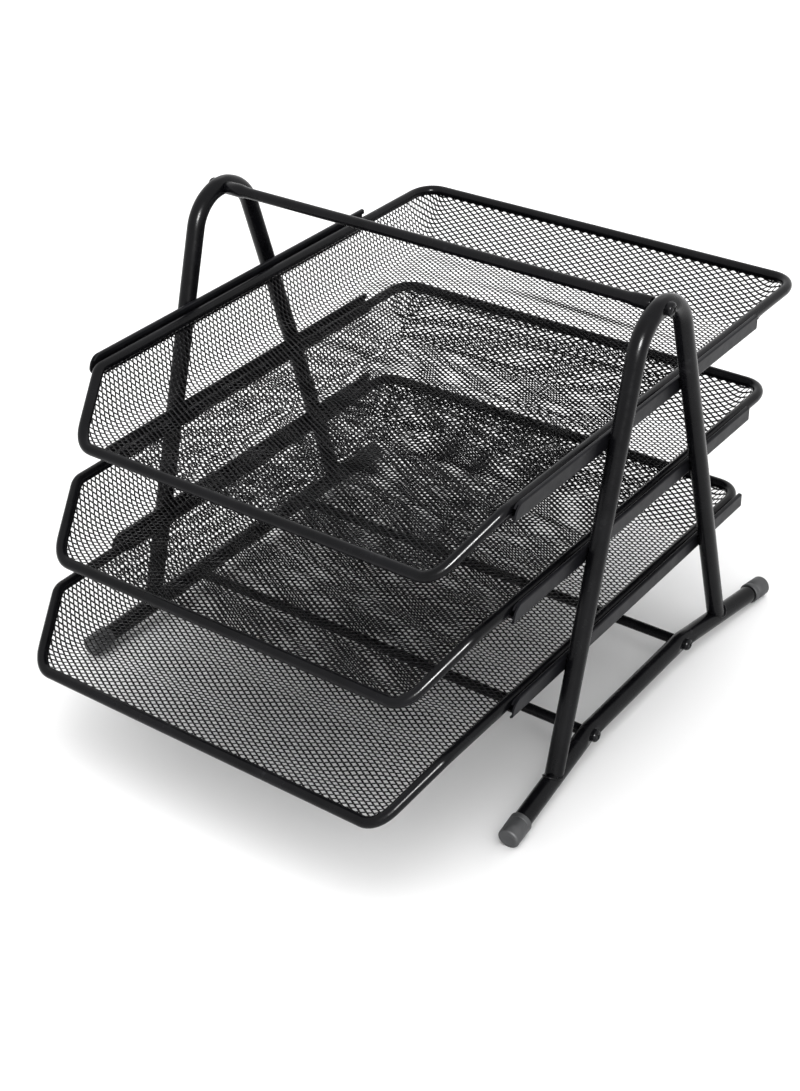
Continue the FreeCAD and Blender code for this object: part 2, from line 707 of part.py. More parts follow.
def make_tray(tier):
    """One tray: the pressed sheet of expanded metal and the wire round its edge."""
    placement = FreeCAD.Placement(FreeCAD.Vector(0, dim(f"front_{tier}"), rim_height(tier)),
                                  FreeCAD.Rotation())
    rim = make_rim(f"{tier}_tray_rim", placement)
    outer = make_tray_block(f"{tier}_tray_outer", placement, 0.5)
    inner = make_tray_block(f"{tier}_tray_inner", placement, -0.5)
    shell = doc.addObject("Part::Cut", f"{tier}_tray_shell")
    shell.Base = outer
    shell.Tool = inner
    open_shell = doc.addObject("Part::Cut", f"{tier}_tray_open_shell")
    open_shell.Base = shell
    open_shell.Tool = make_front_cutter(f"{tier}_tray_front", placement)
    mesh = doc.addObject("Part::Cut", f"{tier}_tray_mesh")
    mesh.Base = open_shell
    mesh.Tool = rim
    return mesh, rim


# ---------------------------------------------------------------- whole object

def make_subparts():
    parts = []
    for name, side in SIDES.items():
        parts.append(make_a_frame_tube(name, side))
        parts.append(make_floor_tube(name, side))
        parts.extend(make_end_cap(end_name, end, name, side) for end_name, end in ENDS.items())
    parts.append(make_bar("top_handle_bar", "frame_x", 0, dim("apex_height")))
    parts.append(make_screw_pair("apex_screws", dim("frame_x"), 0, dim("apex_height")))
    for end_name, end in ENDS.items():
        y = end * dim("kink_half_spread")
        parts.append(make_bar(f"{end_name}_base_bar", "kink_x", y, dim("kink_height")))
        parts.append(make_screw_pair(f"{end_name}_base_screws", dim("kink_x"), y,
                                     dim("kink_height")))
    for tier in TIERS:
        parts.extend(make_rail(tier, name, side) for name, side in SIDES.items())
        parts.extend(make_tray(tier))
    return parts


def check_document():
    """Stop if any object of the document failed to compute."""
    for item in doc.Objects:
        if "Invalid" in item.State or "Error" in item.State:
            raise RuntimeError(f"{item.Label} did not compute: {item.State}")


def check_subpart(part):
    shape = part.Shape
    if shape.isNull() or not shape.isValid() or not shape.Solids:
        raise RuntimeError(f"{part.Label} has no valid solid")


def main():
    parts = make_subparts()
    doc.recompute()
    check_document()
    for part in parts:
        check_subpart(part)
    os.makedirs("parts", exist_ok=True)
    for part in parts:
        part.Shape.exportStep(f"parts/{part.Label}.step")
        print(f"{part.Label}: {len(part.Shape.Solids)} solid, {part.Shape.Volume:.0f} mm3")


main()
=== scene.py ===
import json
import math

import bpy
import numpy as np
from mathutils import Matrix, Vector


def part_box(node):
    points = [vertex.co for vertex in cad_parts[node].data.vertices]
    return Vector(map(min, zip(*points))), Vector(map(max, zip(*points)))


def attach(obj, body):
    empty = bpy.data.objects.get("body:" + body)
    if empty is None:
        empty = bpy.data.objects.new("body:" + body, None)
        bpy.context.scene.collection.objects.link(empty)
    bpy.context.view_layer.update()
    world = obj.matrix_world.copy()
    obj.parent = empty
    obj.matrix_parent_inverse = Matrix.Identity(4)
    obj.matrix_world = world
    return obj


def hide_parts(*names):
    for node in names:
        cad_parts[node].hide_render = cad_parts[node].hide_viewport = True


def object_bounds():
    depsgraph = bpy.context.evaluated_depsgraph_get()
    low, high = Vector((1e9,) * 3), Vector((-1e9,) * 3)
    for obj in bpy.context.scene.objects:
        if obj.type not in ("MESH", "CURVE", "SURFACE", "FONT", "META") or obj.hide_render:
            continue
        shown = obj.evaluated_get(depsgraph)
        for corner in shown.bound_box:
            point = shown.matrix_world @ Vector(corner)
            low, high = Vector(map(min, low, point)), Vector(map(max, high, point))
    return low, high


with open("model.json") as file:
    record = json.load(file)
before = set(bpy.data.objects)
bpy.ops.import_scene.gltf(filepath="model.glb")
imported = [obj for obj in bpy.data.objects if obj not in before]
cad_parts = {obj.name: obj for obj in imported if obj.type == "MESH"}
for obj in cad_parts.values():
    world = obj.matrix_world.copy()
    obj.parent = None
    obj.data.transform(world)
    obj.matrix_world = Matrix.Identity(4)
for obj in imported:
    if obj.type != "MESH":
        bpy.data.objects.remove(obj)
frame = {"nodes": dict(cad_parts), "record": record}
cad_low, cad_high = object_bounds()

# Lengths are in millimetres where they describe the object, and MM turns them into metres.
MM = 0.001
SIDES = {"left": -1, "right": 1}
ENDS = {"front": -1, "rear": 1}
TIERS = ("bottom", "middle", "top")


# ---------------------------------------------------------------- places read from the frame

def centre(node):
    low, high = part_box(node)
    return (low + high) / 2


def size(node):
    low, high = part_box(node)
    return high - low


TUBE_RADIUS = size("right_a_frame_tube").x / 2
FRAME_X = centre("right_a_frame_tube").x
FRAME_Y = centre("right_a_frame_tube").y
APEX_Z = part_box("right_a_frame_tube")[1].z - TUBE_RADIUS
BASE_Z = centre("front_base_bar").z
BASE_HALF_SPREAD = (centre("rear_base_bar").y - centre("front_base_bar").y) / 2
KINK_X = size("front_base_bar").x / 2 + TUBE_RADIUS
BAR_RADIUS = size("front_base_bar").z / 2
RIM_RADIUS = 3.0 * MM
RIM_HALF_WIDTH = size("top_tray_rim").x / 2 - RIM_RADIUS
RIM_DEPTH = size("top_tray_rim").y - 2 * RIM_RADIUS
TRAY_DEPTH = 25.1 * MM
FRONT_SLANT = 35.2 * MM
BACK_SLANT = 25.2 * MM
SIDE_SLANT = 16.0 * MM
FLOOR_HALF_WIDTH = RIM_HALF_WIDTH - SIDE_SLANT
DESK_Z = 0.0


def tray_origin(tier):
    """Middle of the front floor edge in Y, and the rim's axis in Z."""
    low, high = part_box(f"{tier}_tray_rim")
    return Vector((0, low.y + RIM_RADIUS, high.z - RIM_RADIUS))


# ---------------------------------------------------------------- node materials

def new_material(name):
    material = bpy.data.materials.new(name)
    material.use_nodes = True
    tree = material.node_tree
    shader = tree.nodes["Principled BSDF"]
    coordinates = tree.nodes.new("ShaderNodeTexCoord")
    return material, tree, shader, coordinates.outputs["Object"]


def add_noise(tree, vector, scale, detail=3.0, roughness=0.5):
    noise = tree.nodes.new("ShaderNodeTexNoise")
    noise.inputs["Scale"].default_value = scale
    noise.inputs["Detail"].default_value = detail
    noise.inputs["Roughness"].default_value = roughness
    tree.links.new(vector, noise.inputs["Vector"])
    return noise.outputs["Fac"]


def add_ramp(tree, value, stops):
    """Turns a value into a colour. stops are pairs of a place and a colour."""
    ramp = tree.nodes.new("ShaderNodeValToRGB")
    elements = ramp.color_ramp.elements
    while len(elements) < len(stops):
        elements.new(0.5)
    for element, (place, colour) in zip(elements, stops):
        element.position = place
        element.color = (*colour, 1.0)
    tree.links.new(value, ramp.inputs["Fac"])
    return ramp.outputs["Color"]


def add_range(tree, value, low, high):
    """Spreads a noise's middle band over the range from low to high."""
    spread = tree.nodes.new("ShaderNodeMapRange")
    spread.inputs["From Min"].default_value = 0.3
    spread.inputs["From Max"].default_value = 0.7
    spread.inputs["To Min"].default_value = low
    spread.inputs["To Max"].default_value = high
    tree.links.new(value, spread.inputs["Value"])
    return spread.outputs["Result"]


def add_bump(tree, shader, height, strength, distance):
    bump = tree.nodes.new("ShaderNodeBump")
    bump.inputs["Strength"].default_value = strength
    bump.inputs["Distance"].default_value = distance
    tree.links.new(height, bump.inputs["Height"])
    tree.links.new(bump.outputs["Normal"], shader.inputs["Normal"])


def powder_coat(name, dark, light, rough_low, rough_high, grain):
    """Black paint baked on from powder: a fine orange peel, uneven sheen and a few rubbed spots."""
    rubbed = (0.02, 0.02, 0.022)
    material, tree, shader, place = new_material(name)
    cloudy = add_noise(tree, place, scale=45.0, detail=4.0, roughness=0.6)
    tree.links.new(add_ramp(tree, cloudy, [(0.3, dark), (0.66, light), (0.78, rubbed)]),
                   shader.inputs["Base Color"])
    patchy = add_noise(tree, place, scale=160.0, roughness=0.55)
    tree.links.new(add_range(tree, patchy, rough_low, rough_high), shader.inputs["Roughness"])
    shader.inputs["Specular IOR Level"].default_value = 0.11
    peel = add_noise(tree, place, scale=grain, detail=2.0)
    add_bump(tree, shader, peel, strength=0.25, distance=0.12 * MM)
    return material


def moulded_plastic(name, dark, light):
    """Dark grey soft plastic with a fine eroded mould texture."""
    material, tree, shader, place = new_material(name)
    cloudy = add_noise(tree, place, scale=220.0, detail=4.0, roughness=0.6)
    tree.links.new(add_ramp(tree, cloudy, [(0.3, dark), (0.7, light)]), shader.inputs["Base Color"])
    tree.links.new(add_range(tree, cloudy, 0.5, 0.68), shader.inputs["Roughness"])
    eroded = add_noise(tree, place, scale=2600.0, detail=2.0, roughness=0.6)
    add_bump(tree, shader, eroded, strength=0.35, distance=0.1 * MM)
    return material


MATERIALS = {
    "frame_coat": powder_coat("frame_coat", (0.0015, 0.0015, 0.002), (0.0045, 0.0045, 0.0055),
                              0.18, 0.3, 1400.0),
    "mesh_coat": powder_coat("mesh_coat", (0.0015, 0.0015, 0.002), (0.0045, 0.0045, 0.0055),
                             0.3, 0.44, 1800.0),
    "rail_coat": powder_coat("rail_coat", (0.004, 0.004, 0.005), (0.009, 0.009, 0.011),
                             0.3, 0.42, 1500.0),
    "cap_plastic": moulded_plastic("cap_plastic", (0.022, 0.023, 0.025), (0.036, 0.037, 0.039)),
    "screw_steel": powder_coat("screw_steel", (0.004, 0.004, 0.005), (0.009, 0.009, 0.01),
                               0.16, 0.26, 2400.0),
}


def paint(piece, slot):
    piece.data.materials.clear()
    piece.data.materials.append(MATERIALS[slot])


def paint_cad_nodes():
    for entry in frame["record"]["subparts"]:
        node = frame["nodes"][entry["node"]]
        paint(node, entry["material_slot"])
        for face in node.data.polygons:
            face.use_smooth = True


def signed_volume(points, faces):
    """Volume inside the faces, as a sum of tetrahedra. It is negative where they face inwards."""
    place = np.array([tuple(point) for point in points])
    place = place - place.mean(0)
    total = 0.0
    for face in faces:
        for after, last in zip(face[1:-1], face[2:]):
            total += place[face[0]].dot(np.cross(place[after], place[last]))
    return total / 6


def add_piece(name, points, faces, slot, body, replaced=()):
    """A new mesh piece, facing outwards. points are in metres."""
    if signed_volume(points, faces) < 0:
        faces = [tuple(reversed(face)) for face in faces]
    mesh = bpy.data.meshes.new(name)
    mesh.from_pydata([tuple(point) for point in points], [], [tuple(face) for face in faces])
    mesh.validate()
    mesh.polygons.foreach_set("use_smooth", [True] * len(mesh.polygons))
    piece = bpy.data.objects.new(name, mesh)
    bpy.context.scene.collection.objects.link(piece)
    paint(piece, slot)
    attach(piece, body)
    if replaced:
        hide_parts(*replaced)


# ---------------------------------------------------------------- swept tubes

RING = 40                          # sides of a tube
STEP = 2.5 * MM                    # spacing of rings along a tube
SEAT_DEPTH = 1.2 * MM
SEAT_REACH = 2.0 * TUBE_RADIUS     # how far from a seat the tube is pressed
SEAT_LEVEL = 0.3                   # share of that reach that is pressed to the full depth
SEAT_SPREAD = 0.07                 # how much wider the pressed tube grows, as a share
SEAT_ROUND = 0.04                  # share of its roundness that the pressed tube keeps


def straight(start, end):
    count = max(1, round((end - start).length / STEP))
    return [start.lerp(end, i / count) for i in range(count)]


def arc(middle, start, normal, turn):
    """Points from start round middle, by turn radians about normal, without the last."""
    count = max(2, round((start - middle).length * abs(turn) / STEP))
    spoke = start - middle
    return [middle + Matrix.Rotation(turn * i / count, 3, normal) @ spoke for i in range(count)]


def rings_along(path, radius, first_normal):
    """Rings of points square to a path, carried along it without twisting."""
    path = [Vector(point) for point in path]
    rings = []
    normal = first_normal.copy()
    for i, point in enumerate(path):
        ahead = path[min(i + 1, len(path) - 1)] - path[max(i - 1, 0)]
        ahead.normalize()
        normal = (normal - ahead * normal.dot(ahead)).normalized()
        side = ahead.cross(normal)
        ring = [point + (normal * math.cos(a) + side * math.sin(a)) * radius
                for a in (2 * math.pi * k / RING for k in range(RING))]
        rings.append(ring)
    return rings


def skin_rings(rings):
    """Faces between rings of equal length that follow each other, closed at both ends."""
    count = len(rings[0])
    faces = []
    for i in range(len(rings) - 1):
        for k in range(count):
            after = (k + 1) % count
            faces.append((i * count + k, i * count + after,
                          (i + 1) * count + after, (i + 1) * count + k))
    faces.append(tuple(reversed(range(count))))
    faces.append(tuple(range((len(rings) - 1) * count, len(rings) * count)))
    return faces


def press_seats(rings, path, seats):
    """Flattens a tube where a screw's head pulls down on it. Each seat is a point and a direction."""
    for ring, middle in zip(rings, path):
        for at, outward in seats:
            away = (middle - at).length
            if away > SEAT_REACH:
                continue
            fade = (away / SEAT_REACH - SEAT_LEVEL) / (1 - SEAT_LEVEL)
            ease = (1 + math.cos(math.pi * min(1.0, max(0.0, fade)))) / 2
            limit = TUBE_RADIUS - SEAT_DEPTH * ease
            for k, point in enumerate(ring):
                height = (point - middle).dot(outward)
                level = point - outward * height
                spread = (level - middle) * (1 + SEAT_SPREAD * ease)
                pressed = min(height, limit + (height - limit) * SEAT_ROUND)
                ring[k] = middle + spread + outward * pressed
                ring[k].z = min(ring[k].z, cad_high.z)
    return rings


def add_tube(name, path, normal, body, replaced, seats=()):
    rings = press_seats(rings_along(path, TUBE_RADIUS, normal), path, seats)
    points = [point for ring in rings for point in ring]
    return add_piece(name, points, skin_rings(rings), "frame_coat", body, replaced)


# ---------------------------------------------------------------- side frames

APEX_RADIUS = 24.0 * MM
FOOT_HALF_SPREAD = 88.0 * MM
FLOOR_BEND_RADIUS = 28.0 * MM
TIP = Vector((144.3, 137.5, 5.2)) * MM         # middle of a cap's end, from the apex plane
CAP_END = 2.0 * MM
WELD_BEAD = 0.75 * MM
WELD_SUNK = 0.97                   # the bead's middle, as a share of the leg's radius
WELD_RINGS = 56
WELD_SIDES = 8
WELD_RIPPLES = 14
WELD_RIPPLE = 0.12                 # how much the bead swells at a ripple, as a share
LEG_SAMPLE = 4                     # a point of a leg's path that is on its straight part


def kink_point():
    return Vector((KINK_X, BASE_HALF_SPREAD, BASE_Z))


def foot_point():
    along = (TIP - kink_point()).normalized()
    return kink_point() + along * ((FOOT_HALF_SPREAD - BASE_HALF_SPREAD) / along.y)


def placed(point, side, end=1):
    """A point of the right frame's rear half, moved to the given side and end."""
    return Vector((side * point.x, FRAME_Y + end * point.y, point.z))


def a_frame_path(side):
    """The axis of one inverted V, from the front foot over the apex to the rear foot."""
    middle = Vector((FRAME_X, 0, APEX_Z - APEX_RADIUS))
    foot = foot_point()
    foot.x = FRAME_X
    down = foot - middle
    angle = math.atan2(down.z, down.y) + math.acos(APEX_RADIUS / down.length)
    touch = middle + Vector((0, math.cos(angle), math.sin(angle))) * APEX_RADIUS
    leg = straight(foot, touch)
    bend = arc(middle, touch, Vector((1, 0, 0)), math.pi / 2 - angle)
    half = leg + bend + [middle + Vector((0, 0, APEX_RADIUS))]
    other = [Vector((p.x, -p.y, p.z)) for p in reversed(half[:-1])]
    return [placed(point, side) for point in half + other]


def add_a_frame(name, side):
    path = a_frame_path(side)
    apex = Vector((side * FRAME_X, FRAME_Y, APEX_Z))
    outward = Vector((side, 0, 0))
    add_tube(f"{name}_side_tube", path, outward, "frame", [f"{name}_a_frame_tube"],
             [(apex, outward)])


def floor_tube_path(side):
    """The axis of one floor tube, from its front end to its rear end."""
    kink = kink_point()
    outward = (TIP - kink).normalized()
    inward = Vector((0, -1, 0))
    turn = outward.angle(-inward)
    setback = FLOOR_BEND_RADIUS * math.tan(turn / 2)
    start = kink + inward * setback
    end = kink + outward * setback
    splay = (outward - Vector((0, outward.y, 0))).normalized()
    middle = start + splay * FLOOR_BEND_RADIUS
    normal = (start - middle).cross(end - middle).normalized()
    tip = TIP - outward * CAP_END
    half = straight(Vector((kink.x, 0, kink.z)), start) + arc(middle, start, normal, turn)
    half += straight(end, tip) + [tip]
    other = [Vector((p.x, -p.y, p.z)) for p in reversed(half[1:])]
    return [placed(point, side) for point in other + half]


def add_floor_tube(name, side):
    outward = Vector((side, 0, 0))
    seats = [(placed(kink_point(), side, end), outward) for end in ENDS.values()]
    add_tube(f"{name}_base_tube", floor_tube_path(side), outward, "frame",
             [f"{name}_floor_tube"], seats)


def leg_direction(side, end):
    """Which way a leg rises from its foot."""
    path = a_frame_path(side)
    if end > 0:
        path.reverse()
    return (path[LEG_SAMPLE] - path[0]).normalized()


def meet_tube(start, direction, at, along):
    """Where a line from start leaves the tube whose axis runs along from at."""
    offset = start - at
    across = direction - along * direction.dot(along)
    apart = offset - along * offset.dot(along)
    inside = apart.dot(across) ** 2 - across.dot(across) * (apart.dot(apart) - TUBE_RADIUS ** 2)
    rise = (math.sqrt(max(inside, 0.0)) - apart.dot(across)) / across.dot(across)
    return start + direction * rise


def loop_faces(count, around):
    """Faces of a closed loop of rings, with around points in each."""
    return [(k * around + i, ((k + 1) % count) * around + i,
             ((k + 1) % count) * around + (i + 1) % around, k * around + (i + 1) % around)
            for k in range(count) for i in range(around)]


def add_foot_weld(name, side, end_name, end):
    """The bead of weld round the foot of a leg, where it lands on the floor tube."""
    kink = placed(kink_point(), side, end)
    along = (placed(TIP, side, end) - kink).normalized()
    foot = placed(foot_point(), side, end)
    foot.x = side * FRAME_X
    leg = leg_direction(side, end)
    across = Vector((1, 0, 0))
    other = leg.cross(across)
    points = []
    for k in range(WELD_RINGS):
        angle = 2 * math.pi * k / WELD_RINGS
        spoke = across * math.cos(angle) + other * math.sin(angle)
        middle = meet_tube(foot + spoke * TUBE_RADIUS * WELD_SUNK, leg, kink, along)
        bead = WELD_BEAD * (1 + WELD_RIPPLE * math.sin(WELD_RIPPLES * angle))
        for i in range(WELD_SIDES):
            turn = 2 * math.pi * i / WELD_SIDES
            points.append(middle + (spoke * math.cos(turn) + leg * math.sin(turn)) * bead)
    faces = loop_faces(WELD_RINGS, WELD_SIDES)
    add_piece(f"{end_name}_{name}_foot_weld", points, faces, "frame_coat", "frame")


# ---------------------------------------------------------------- turned pieces

TURNED_SIDES = 48
AXIS_GAP = 0.05                    # radius left open round an axis, so that no points fall together


def lathe(profile, place, direction):
    """Points and faces of a profile of (radius, height) turned about direction from place."""
    axis = direction.normalized()
    side = axis.orthogonal().normalized()
    other = axis.cross(side)
    rings = []
    for radius, height in profile:
        ring = []
        for k in range(TURNED_SIDES):
            angle = 2 * math.pi * k / TURNED_SIDES
            spoke = side * math.cos(angle) + other * math.sin(angle)
            ring.append(place + axis * height + spoke * radius)
        rings.append(ring)
    return [point for ring in rings for point in ring], skin_rings(rings)


def rounded(radius_at, height_at, bend, start, end, steps=7):
    """Points of a rounded corner of a profile, by angle from start to end in degrees."""
    angles = [math.radians(start + (end - start) * i / steps) for i in range(steps + 1)]
    return [(radius_at + bend * math.cos(a), height_at + bend * math.sin(a)) for a in angles]


# The end cap, in millimetres.
CAP_RADIUS = 5.85
CAP_NOSE_ROUND = 1.2
CAP_LIP_RADIUS = 5.98
CAP_LIP_PLACE = 11.7
CAP_LIP_ROUND = 0.28
CAP_MOUTH_RADIUS = 6.0
CAP_MOUTH_ROUND = 0.5
CAP_LENGTH = 14.5


def cap_profile():
    """The cap's outline from the middle of its nose, over its sleeve and into its mouth."""
    dish = [(AXIS_GAP, -0.35), (3.2, -0.3), (3.6, -0.04)]
    nose = rounded(CAP_RADIUS - CAP_NOSE_ROUND, -CAP_NOSE_ROUND, CAP_NOSE_ROUND, 90, 0)
    sleeve = [(5.88, -5.0), (5.96, -11.4)]
    lip = rounded(CAP_LIP_RADIUS - CAP_LIP_ROUND, -CAP_LIP_PLACE, CAP_LIP_ROUND, 60, 0, 3)
    mouth = rounded(CAP_MOUTH_RADIUS - CAP_MOUTH_ROUND, CAP_MOUTH_ROUND - CAP_LENGTH,
                    CAP_MOUTH_ROUND, 0, -90, 4)
    bore = [(5.06, -CAP_LENGTH), (5.02, -13.7)]
    return [(r * MM, h * MM) for r, h in dish + nose + sleeve + lip + mouth + bore]


def add_end_cap(name, side, end_name, end):
    """A soft sleeve pushed over the tube's end, with a rounded nose and a thicker mouth."""
    node = f"{end_name}_{name}_end_cap"
    tip = placed(TIP, side, end)
    points, faces = lathe(cap_profile(), tip, tip - placed(kink_point(), side, end))
    for point in points:
        point.z = max(point.z, DESK_Z)
    add_piece(f"{node}_moulding", points, faces, "cap_plastic", "frame", [node])


BAR_END_RADIUS = 1.25 * BAR_RADIUS
BAR_END_CHAMFER = 0.4 * MM
BAR_END_LENGTH = 9.0 * MM
BAR_SHOULDER = 1.18 * BAR_RADIUS
BAR_NECK = 1.04 * BAR_RADIUS
BAR_HALF_STEPS = 8


def add_handle_bar():
    """The carrying bar, upset a little thicker where its ends are tapped for the screws."""
    half = size("top_handle_bar").x / 2
    ends = [(BAR_END_RADIUS - BAR_END_CHAMFER, 0.0), (BAR_END_RADIUS, BAR_END_CHAMFER),
            (BAR_END_RADIUS, BAR_END_LENGTH), (BAR_SHOULDER, 11.0 * MM),
            (BAR_NECK, 13.5 * MM), (BAR_RADIUS, 16.0 * MM)]
    run = [(BAR_RADIUS, -half + half * i / BAR_HALF_STEPS) for i in range(2, 2 * BAR_HALF_STEPS - 1)]
    profile = [(r, h - half) for r, h in ends] + run + [(r, half - h) for r, h in reversed(ends)]
    points, faces = lathe(profile, centre("top_handle_bar"), Vector((1, 0, 0)))
    add_piece("top_handle_bar_rod", points, faces, "frame_coat", "frame", ["top_handle_bar"])


# The screws' heads. Their outline is in millimetres.
HEAD_HEIGHT = 2.8 * MM
HEAD_RADIUS = 3.6
HEAD_SIDE = 0.9                    # half the height of the head's straight side
HEAD_ROUND = 1.85
HEAD_SIDES = 64
HEAD_RINGS = 26
RECESS_WIDTH = 1.0 * MM
RECESS_REACH = 2.1 * MM
RECESS_DEPTH = 1.3
RECESS_TAPER = 0.5                 # share of its depth that the recess loses at its reach
RECESS_START = 1.2                 # height on the head above which the recess is cut
RECESS_TURN = 0.5                  # of the cross about the screw, in radians


def screw_heads():
    """Each screw's name, the point under the middle of its head, and its outward direction."""
    for group, y, z in (("apex", 0, APEX_Z), ("front_base", -BASE_HALF_SPREAD, BASE_Z),
                        ("rear_base", BASE_HALF_SPREAD, BASE_Z)):
        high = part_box(f"{group}_screws")[1].x
        for name, side in SIDES.items():
            place = Vector((side * (high - HEAD_HEIGHT), FRAME_Y + y, z))
            yield group, name, place, Vector((side, 0, 0))


def recess_depth(a, b, height):
    """How far the cross recess sinks a point of the head, in millimetres."""
    c = a * math.cos(RECESS_TURN) + b * math.sin(RECESS_TURN)
    d = -a * math.sin(RECESS_TURN) + b * math.cos(RECESS_TURN)
    narrow = min(abs(c), abs(d))
    wide = max(abs(c), abs(d))
    if height > RECESS_START and narrow < RECESS_WIDTH / 2 and wide < RECESS_REACH:
        return RECESS_DEPTH * (1 - RECESS_TAPER * wide / RECESS_REACH)
    return 0.0


def add_screw_head(group, name, place, outward):
    """A domed pan head with a cross recess and a straight side."""
    dome = rounded(HEAD_RADIUS - HEAD_ROUND, HEAD_SIDE, HEAD_ROUND, 0, 78, 10)
    top = [(1.1, 2.78), (AXIS_GAP, 2.8)]
    profile = [(HEAD_RADIUS, -HEAD_SIDE), (HEAD_RADIUS, HEAD_SIDE)] + dome + top
    rings = []
    for i in range(HEAD_RINGS + 1):
        radius, height = profile_at(profile, i / HEAD_RINGS)
        ring = []
        for k in range(HEAD_SIDES):
            angle = 2 * math.pi * k / HEAD_SIDES
            a = radius * math.cos(angle) * MM
            b = radius * math.sin(angle) * MM
            rise = (height - recess_depth(a, b, height)) * MM
            ring.append(place + Vector((0, a, b)) + outward * rise)
        rings.append(ring)
    points = [point for ring in rings for point in ring]
    add_piece(f"{group}_{name}_screw_head", points, skin_rings(rings), "screw_steel", "frame",
              [f"{group}_screws"])


def profile_at(profile, share):
    """The point that lies a share of the way along a profile."""
    lengths = [math.dist(a, b) for a, b in zip(profile, profile[1:])]
    target = share * sum(lengths)
    for (start, end), length in zip(zip(profile, profile[1:]), lengths):
        if target <= length:
            part = target / length if length else 0.0
            return tuple(s + (e - s) * part for s, e in zip(start, end))
        target -= length
    return profile[-1]


# ---------------------------------------------------------------- expanded-metal sheet

LONG_PITCH = 5.85                  # of a diamond, across the tray
SHORT_PITCH = 3.1                  # of a diamond, front to back
OPENING_LONG = 4.2
OPENING_SHORT = 1.7
SHEET = 0.5
TWIST = 0.55                       # how far a diamond's near and far corners stand out of the sheet
FLOOR_FOLD = 15.0
CORNER_POWER = 3.0                 # how softly the side wall runs into the back
CORNERS = 6                        # of an opening
BLUNT = 0.92                       # an opening's length at its blunt ends, as a share
SIDE_SHEET = 32.0                  # how far the flat sheet reaches past the floor's side
BACK_SHEET = 38.0                  # how far it reaches past the floor's back
UNROLL_STEP = 0.25
UNROLL_REACH = 60.0
FOLD_ROUNDS = 6
RIM_ROUNDS = 5
LEAST_HEIGHT = 1e-6
LEAST_STEEPNESS = 1e-3
SMALLEST_FACE = 0.02               # area in square millimetres

SIDE_SLOPE = TRAY_DEPTH / (RIM_HALF_WIDTH - FLOOR_HALF_WIDTH)
BACK_SLOPE = TRAY_DEPTH / BACK_SLANT
WALL_HEIGHT = TRAY_DEPTH / MM
FLOOR_EDGE = FLOOR_HALF_WIDTH / MM
FLOOR_BACK = (RIM_DEPTH - BACK_SLANT) / MM
FRONT_RUN = FRONT_SLANT / MM


def wall_rise(distance, slope):
    """Height and slope of a wall that leaves the floor in a round fold, along one axis.

    distance is how far a point lies beyond the line where floor and wall would meet.
    """
    lean = math.atan(slope)
    run = FLOOR_FOLD * math.tan(lean / 2)
    along = distance + run
    inside = np.clip(along, 0.0, FLOOR_FOLD * math.sin(lean))
    fold = FLOOR_FOLD - np.sqrt(FLOOR_FOLD ** 2 - inside ** 2)
    beyond = np.maximum(along - FLOOR_FOLD * math.sin(lean), 0.0)
    gradient = inside / np.sqrt(FLOOR_FOLD ** 2 - inside ** 2)
    return fold + beyond * slope, gradient


def fade_in(distance, run):
    """Rises from nought to one over the given run."""
    return np.clip(distance / run, 0.0, 1.0)


def wave(x, y, height, turn_x, turn_y, start):
    """A long wave of the floor. It turns by so many radians for each millimetre."""
    return height * np.sin(turn_y * y + turn_x * x + start)


def floor_sag(x, y):
    """How the thin floor ripples between its folds, in long waves across the tray."""
    across = fade_in(FLOOR_EDGE - 4.0 - np.abs(x), run=30.0)
    along = fade_in(y, run=25.0) * fade_in(FLOOR_BACK - 8.0 - y, run=20.0)
    bend = 0.8 * np.sin(0.021 * x)
    waves = (wave(x, y, height=0.8, turn_x=0.012, turn_y=0.145, start=bend)
             + wave(x, y, height=0.6, turn_x=-0.016, turn_y=0.232, start=1.7)
             + wave(x, y, height=0.4, turn_x=0.05, turn_y=0.071, start=0.6))
    return waves * across * along


def sheet_height(x, y):
    """Height above the flat floor, and its slopes along X and Y, at points of the plan."""
    side, side_slope = wall_rise(np.abs(x) - FLOOR_EDGE, SIDE_SLOPE)
    back, back_slope = wall_rise(y - FLOOR_BACK, BACK_SLOPE)
    total = side ** CORNER_POWER + back ** CORNER_POWER
    height = total ** (1 / CORNER_POWER)
    safe = np.maximum(height, LEAST_HEIGHT)
    weight_x = (side / safe) ** (CORNER_POWER - 1)
    weight_y = (back / safe) ** (CORNER_POWER - 1)
    return height, weight_x * side_slope * np.sign(x), weight_y * back_slope


def unroll(goal, fixed, along_x):
    """Plan positions that lie a given length along the sheet, with the other one fixed."""
    reach = (FLOOR_EDGE if along_x else FLOOR_BACK) - FLOOR_FOLD
    grid = np.arange(0.0, UNROLL_REACH, UNROLL_STEP)
    found = np.empty_like(goal)
    far = np.abs(goal)
    rows = np.round(fixed / UNROLL_STEP).astype(int)
    for row in np.unique(rows):
        at = rows == row
        place = reach + grid
        other = np.full_like(grid, row * UNROLL_STEP)
        _, slope_x, slope_y = (sheet_height(place, other) if along_x
                               else sheet_height(other, place))
        slope = slope_x if along_x else slope_y
        run = np.cumsum(np.hypot(1.0, slope[1:]) * UNROLL_STEP)
        length = reach + np.concatenate(([0.0], run))
        found[at] = np.where(far[at] <= reach, far[at], np.interp(far[at], length, place))
    return found * np.sign(goal) if along_x else np.where(goal < reach, goal, found)


def plan_of(u, v):
    """Where points of the flat sheet come to lie in the tray's plan once it is folded."""
    x, y = u.copy(), v.copy()
    for _ in range(FOLD_ROUNDS):
        x = unroll(u, y, True)
        y = unroll(v, np.abs(x), False)
    return x, y


